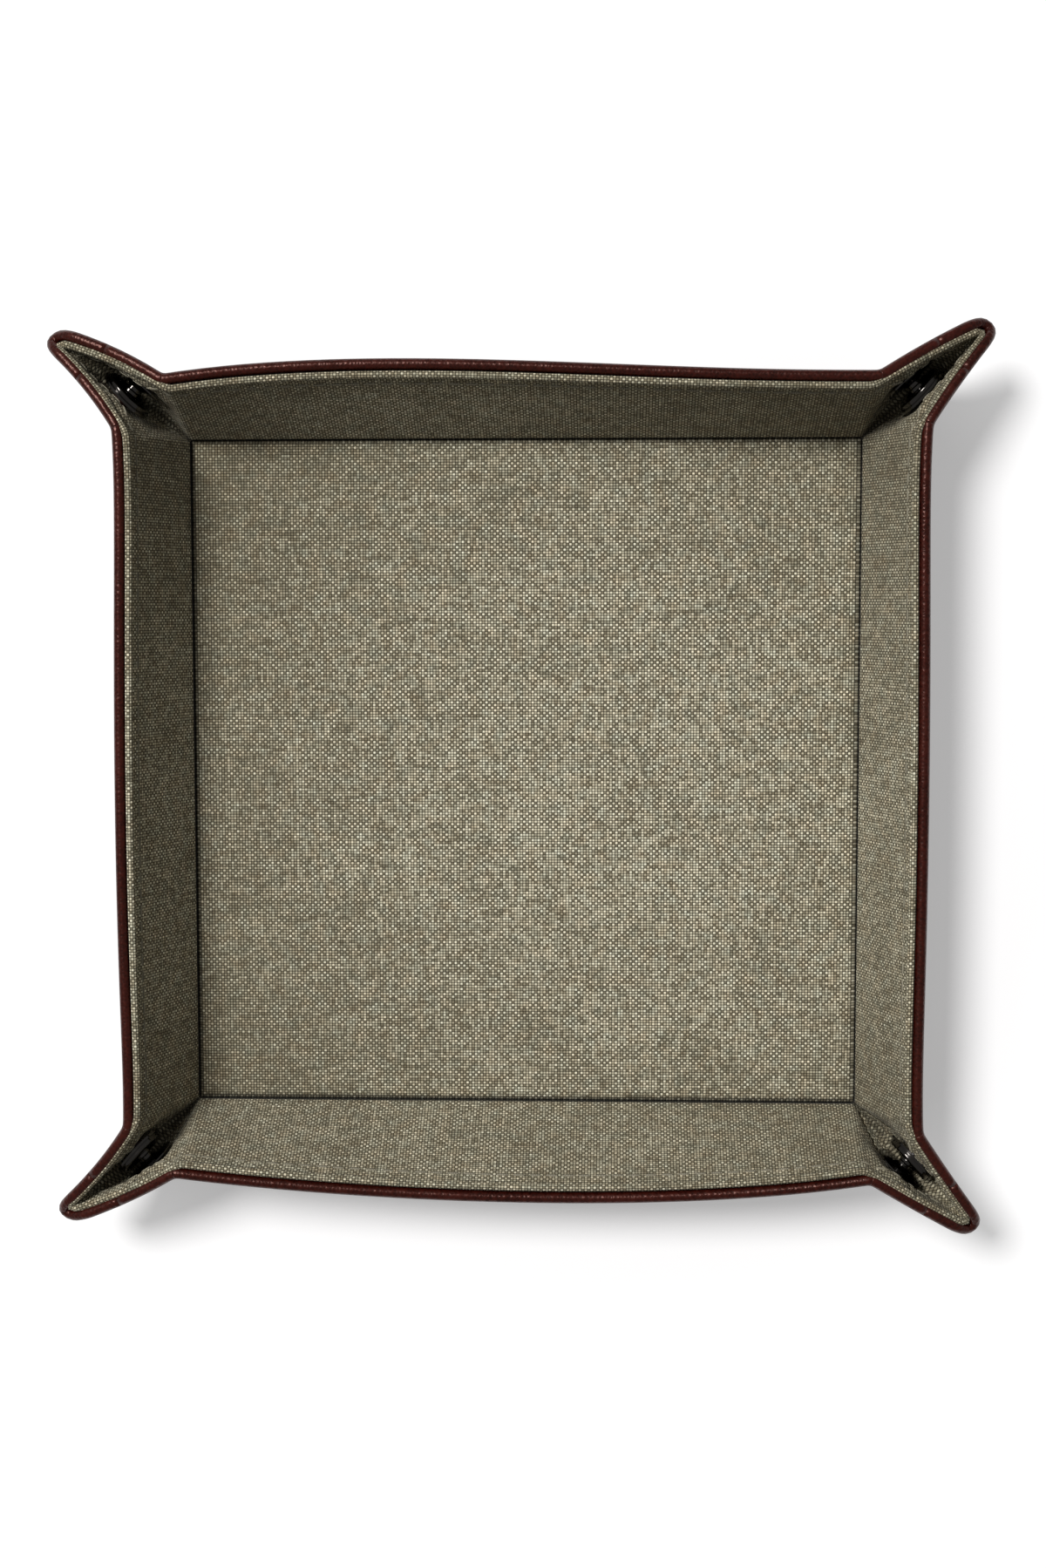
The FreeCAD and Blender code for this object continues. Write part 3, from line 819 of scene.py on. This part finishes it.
def painted_light_and_shade(flat_x, flat_y):
    """How light the cloth is painted, and how much painted shade covers it."""
    off_x, off_y = flat_x - 0.5, flat_y - 0.5
    near_x, near_y = (off.math("MAXIMUM", -LIGHT_REACH).math("MINIMUM", LIGHT_REACH) for off in (off_x, off_y))
    from_x, from_y = off_x.math("ABSOLUTE") * UV_SIDE, off_y.math("ABSOLUTE") * UV_SIDE
    past_crease = from_x.math("MAXIMUM", from_y) - LINING_SPAN
    into_ear = from_x.math("MINIMUM", from_y) - LINING_SPAN
    on_base = past_crease.math("LESS_THAN", 0.0)
    square_x, square_y = near_x * near_x, near_y * near_y
    # Painted light and shade: lighter in the middle, darker to the left and rear of the base, lighter on the
    # side walls
    painted_light = (LIGHT_MIDDLE - (square_x + square_y) * LIGHT_FADE
            + near_x * (on_base * BASE_LIGHT_RIGHT + LIGHT_RIGHT) + near_y * LIGHT_REAR
            + (square_x - square_y) * (1 - on_base) * WALL_LIGHT)
    # Painted shade along the creases between the base and the walls, and in the folds of the ears
    at_crease = 1 - (past_crease - CREASE_AT).math("ABSOLUTE") * CREASE_SHARP
    at_fold = (1 - (from_x - from_y).math("ABSOLUTE") * FOLD_SHARP) * into_ear.math("GREATER_THAN", 0.0)
    at_fold = at_fold * (1 - into_ear / FOLD_END)
    return painted_light, at_crease.math("MAXIMUM", at_fold).math("MAXIMUM", 0.0) * CREASE_SHADE_MOST


# Shares of the yarn's lightness: thread shade, cloud, painted light and shade of the crossings, and fleck
THREAD_PART, CLOUD_PART, CROSSING_SHADING_PART, FLECK_PART = 0.8, 0.25, 0.36, 0.45
YARN_STOPS = [(0.2, (0.20, 0.175, 0.120)), (0.8, (0.94, 0.885, 0.70)), (0.5, (0.56, 0.515, 0.385))]
WARM_TINT, COOL_TINT = (1.06, 0.985, 0.90, 1), (0.95, 1.0, 1.0, 1)
# The dark between the threads, and the colour of the painted shade in the creases and folds
GAP_COLOUR, CREASE_SHADE_COLOUR = (0.020, 0.016, 0.009, 1), (0.007, 0.006, 0.004, 1)


def woven_lining():
    """Cloth of heathered threads, with painted light and shade."""
    finish, shader, _, uv = new_finish("woven_lining")
    flat_x = uv.make("ShaderNodeSeparateXYZ", i0=uv)
    flat_y = Socket(uv.tree, flat_x.link.node.outputs["Y"])
    crown, over, shade, fleck = plain_weave(flat_x, flat_y)
    painted_light, crease_shade = painted_light_and_shade(flat_x, flat_y)
    cloud = uv.make("ShaderNodeTexNoise", Vector=uv, Scale=14.0, Detail=4.0)
    # The yarn's lightness is scaled by the painted light and shade
    light = ((shade - 0.5) * THREAD_PART + (cloud - 0.5) * CLOUD_PART + (over - 0.5) * CROSSING_SHADING_PART
             + (fleck - 0.5) * FLECK_PART + 0.5) * painted_light
    yarn = light.make("ShaderNodeValToRGB", {"stops": YARN_STOPS}, Fac=light)
    tint = uv.make("ShaderNodeTexNoise", Vector=uv, Scale=70.0, Detail=2.0)
    dyed = uv.make("ShaderNodeMix", {"data_type": "RGBA", "blend_type": "MULTIPLY"}, 2, i0=1.0, i6=yarn,
                   i7=((tint - 0.5) * 2.0 + 0.5).blend(WARM_TINT, COOL_TINT))
    woven = (crown * 1.3).math("MINIMUM", 1.0).blend(GAP_COLOUR, dyed)
    bump = uv.make("ShaderNodeBump", Strength=0.4, Distance=0.0002, Height=crown + shade * 0.3)
    # The painted shade of creases and folds darkens the cloth
    feed(shader, Base_Color=crease_shade.blend(woven, CREASE_SHADE_COLOUR), Roughness=0.9, Normal=bump,
         Specular_IOR_Level=0.1, Sheen_Weight=0.04, Sheen_Roughness=0.5)
    return finish


FINISHES = {"lining": woven_lining()}
print("woven lining of", len(FINISHES["lining"].node_tree.nodes), "nodes")

# %% [markdown]
# Leather is a dark burgundy brown with a fine, pebbled grain. Its highlights are tinted, because the light is
# also coloured by the dye in its polish. The snaps are dark plated metal, and their caps are enamelled in the
# leather's colour. These finishes don't follow a sheet, so they lie on the object's own coordinates.

# %% Grained leather
LEATHER_STOPS = [(0.3, (0.006, 0.0009, 0.0006)), (0.7, (0.038, 0.0056, 0.0033))]
LEATHER_SHINE = (1.0, 0.55, 0.47, 1)


def grained_leather():
    """Burgundy leather with a fine grain."""
    finish, shader, place, _ = new_finish("grained_leather")
    pebble = place.make("ShaderNodeTexVoronoi", {"feature": "F1"}, Vector=place, Scale=1500.0)
    fine = place.make("ShaderNodeTexNoise", Vector=place, Scale=2600.0, Detail=3.0)
    cloud = place.make("ShaderNodeTexNoise", Vector=place, Scale=60.0, Detail=3.0)
    tone = cloud * 0.4 + fine * 0.3 + pebble * 0.4
    colour = tone.make("ShaderNodeValToRGB", {"stops": LEATHER_STOPS}, Fac=tone)
    bump = place.make("ShaderNodeBump", Strength=0.25, Distance=0.00025, Height=pebble + fine * 0.4)
    feed(shader, Base_Color=colour, Roughness=cloud * 0.2 + 0.2, Normal=bump, Specular_IOR_Level=0.35,
         Specular_Tint=LEATHER_SHINE)
    return finish


FINISHES["leather"] = grained_leather()
print("grained leather of", len(FINISHES["leather"].node_tree.nodes), "nodes")

# %% Snaps, boards and thread
def plated_snap():
    """Dark plated metal with a slight haze."""
    finish, shader, place, _ = new_finish("plated_snap")
    haze = place.make("ShaderNodeTexNoise", Vector=place, Scale=900.0, Detail=3.0)
    feed(shader, Base_Color=(0.055, 0.051, 0.047, 1), Metallic=1.0, Roughness=haze * 0.1 + 0.08)
    return finish


def enamelled_cap():
    """Brown enamel under a thin coat."""
    finish, shader, place, _ = new_finish("enamelled_cap")
    haze = place.make("ShaderNodeTexNoise", Vector=place, Scale=700.0, Detail=3.0)
    colour = haze.blend((0.026, 0.0085, 0.0065, 1), (0.045, 0.013, 0.010, 1))
    feed(shader, Base_Color=colour, Roughness=haze * 0.15 + 0.25, Coat_Weight=0.3)
    return finish


def pressed_board():
    """Grey-brown fibre board."""
    finish, shader, place, _ = new_finish("pressed_board")
    fibre = place.make("ShaderNodeTexNoise", Vector=place, Scale=800.0, Detail=4.0)
    feed(shader, Base_Color=fibre.blend((0.2, 0.17, 0.13, 1), (0.38, 0.33, 0.26, 1)), Roughness=0.9)
    return finish


def spun_thread(name, dark, light):
    """Thread with a twist of two shades."""
    finish, shader, place, _ = new_finish(name)
    twist = place.make("ShaderNodeTexWave", None, 1, Vector=place, Scale=900.0, Distortion=2.0)
    feed(shader, Base_Color=twist.blend((*dark, 1), (*light, 1)), Roughness=0.75)
    return finish


FINISHES |= {"snap_metal": plated_snap(), "snap_cap": enamelled_cap(), "board": pressed_board(),
             "thread": spun_thread("spun_thread", (0.12, 0.108, 0.076), (0.3, 0.272, 0.2)),
             "dark_thread": spun_thread("dark_thread", (0.03, 0.011, 0.009), (0.075, 0.028, 0.021))}
print("finishes:", ", ".join(FINISHES))

# %% [markdown]
# The pieces that were made here take their finishes by kind. The snaps and the base board come from the
# frame, whose record names a material slot for each of them.

# %% Give out the finishes
for pieces, finish in ((leather, "leather"), (lining, "lining"), (boards, "board"),
                       (inner_stitches, "thread"), (outer_stitches, "dark_thread")):
    for piece in pieces.values():
        piece.data.materials.append(FINISHES[finish])
for entry in frame["record"]["subparts"]:
    node = frame["nodes"][entry["node"]]
    node.data.materials.clear()
    node.data.materials.append(FINISHES[entry["material_slot"]])

# %% [markdown]
# ## Light and camera
# The camera looks almost straight down. A matrix product reads from right to left: the camera is turned about
# its own axes first, and then moved to its place.

# %% Camera
CAMERA_PLACE = (0.0195, 0.0379, 0.4768)
CAMERA_TURNS = (("Z", 0.13), ("X", -4.84), ("Y", 2.4))

camera = bpy.data.objects.new("camera", bpy.data.cameras.new("camera"))
bpy.context.scene.collection.objects.link(camera)
camera.data.sensor_fit = "VERTICAL"
camera.data.sensor_height = 36
camera.data.lens = 50
camera.data.clip_start = 0.01
placing = Matrix.Translation(CAMERA_PLACE)
for axis, degrees in CAMERA_TURNS:
    placing = placing @ Matrix.Rotation(math.radians(degrees), 4, axis)
camera.matrix_world = placing
bpy.context.scene.camera = camera
print("camera", round(CAMERA_PLACE[2] / MM), "mm above the floor")

# %% [markdown]
# The floor is a plain pale plane. The camera sees it brighter than the lamp alone makes it, and more so away
# from the tray, until it fades into a white surround. A Light Path node picks out the rays that see it so, from
# the camera or by way of a gloss. All other rays meet the plain floor, so the glow doesn't light the cloth.

# %% Floor
FLOOR_SIZE, FLOOR_GLOW = 4.0, 1.35
# The glow's share grows between these distances from the middle, from its least to all of what is seen
GLOW_START, GLOW_END, GLOW_LEAST = 0.115, 0.4, 0.25


def rays_of(tree, *kinds):
    """1 for rays of these kinds, and 0 for all others."""
    path = tree.nodes.new("ShaderNodeLightPath")
    found, *others = (Socket(tree, path.outputs[f"Is {kind} Ray"]) for kind in kinds)
    for other in others:
        found = found.math("MAXIMUM", other)
    return found


bm = bmesh.new()
bmesh.ops.create_grid(bm, x_segments=1, y_segments=1, size=FLOOR_SIZE)
floor = new_piece("floor", bm)
finish, shader, place, _ = new_finish("pale_floor")
floor.data.materials.append(finish)
feed(shader, Base_Color=(0.95, 0.94, 0.94, 1), Roughness=0.9, Specular_IOR_Level=0.1)
glow = place.make("ShaderNodeEmission", Color=(1, 1, 1, 1), Strength=FLOOR_GLOW)
away = place.make("ShaderNodeVectorMath", {"operation": "LENGTH"}, 1, i0=place)
share = away.make("ShaderNodeMapRange", Value=away, From_Min=GLOW_START, From_Max=GLOW_END,
                  To_Min=GLOW_LEAST, To_Max=1.0)
seen = rays_of(place.tree, "Camera", "Glossy", "Transmission")
lifted = seen.make("ShaderNodeMixShader", i0=seen * share, i1=Socket(place.tree, shader.outputs[0]), i2=glow)
set_input(place.tree, place.tree.nodes["Material Output"], "Surface", lifted)
print("floor of", 2 * FLOOR_SIZE, "m")

# %% [markdown]
# One large soft lamp stands to the rear left, so that the rear and left walls are in shade inside, and a pale
# surround fills in. An area lamp shines along its own -Z axis, so its Z axis is tracked away from the tray.

# %% Lamp
LAMP_WAY, LAMP_AWAY, LAMP_SIZE, LAMP_POWER = (-0.385, 0.375, 0.85), 3, 0.95, 87

lamp = bpy.data.objects.new("soft_lamp", bpy.data.lights.new("soft_lamp", "AREA"))
bpy.context.scene.collection.objects.link(lamp)
lamp.data.shape = "DISK"
lamp.data.size = LAMP_SIZE
lamp.data.energy = LAMP_POWER
way = Vector(LAMP_WAY).normalized()
lamp.matrix_world = Matrix.Translation(way * LAMP_AWAY) @ way.to_track_quat("Z", "Y").to_matrix().to_4x4()
print("lamp", round(math.degrees(math.asin(way.z))), "degrees above the floor")

# %% Surround
# How bright the surround is as a light, and how much of its full white the camera and a gloss see besides
FILL, SEEN_WHITE, GLOSS_SHARE = 0.2, 0.8, 0.15

world = bpy.data.worlds.new("surround")
bpy.context.scene.world = world
world.use_nodes = True
tree = world.node_tree
seen = rays_of(tree, "Camera", "Transmission").math("MAXIMUM", rays_of(tree, "Glossy") * GLOSS_SHARE)
set_input(tree, tree.nodes["Background"], "Strength", seen * SEEN_WHITE + FILL)
set_input(tree, tree.nodes["Background"], "Color", (1, 1, 1, 1))
bpy.context.scene.view_settings.view_transform = "Standard"
print("surround of strength", FILL)
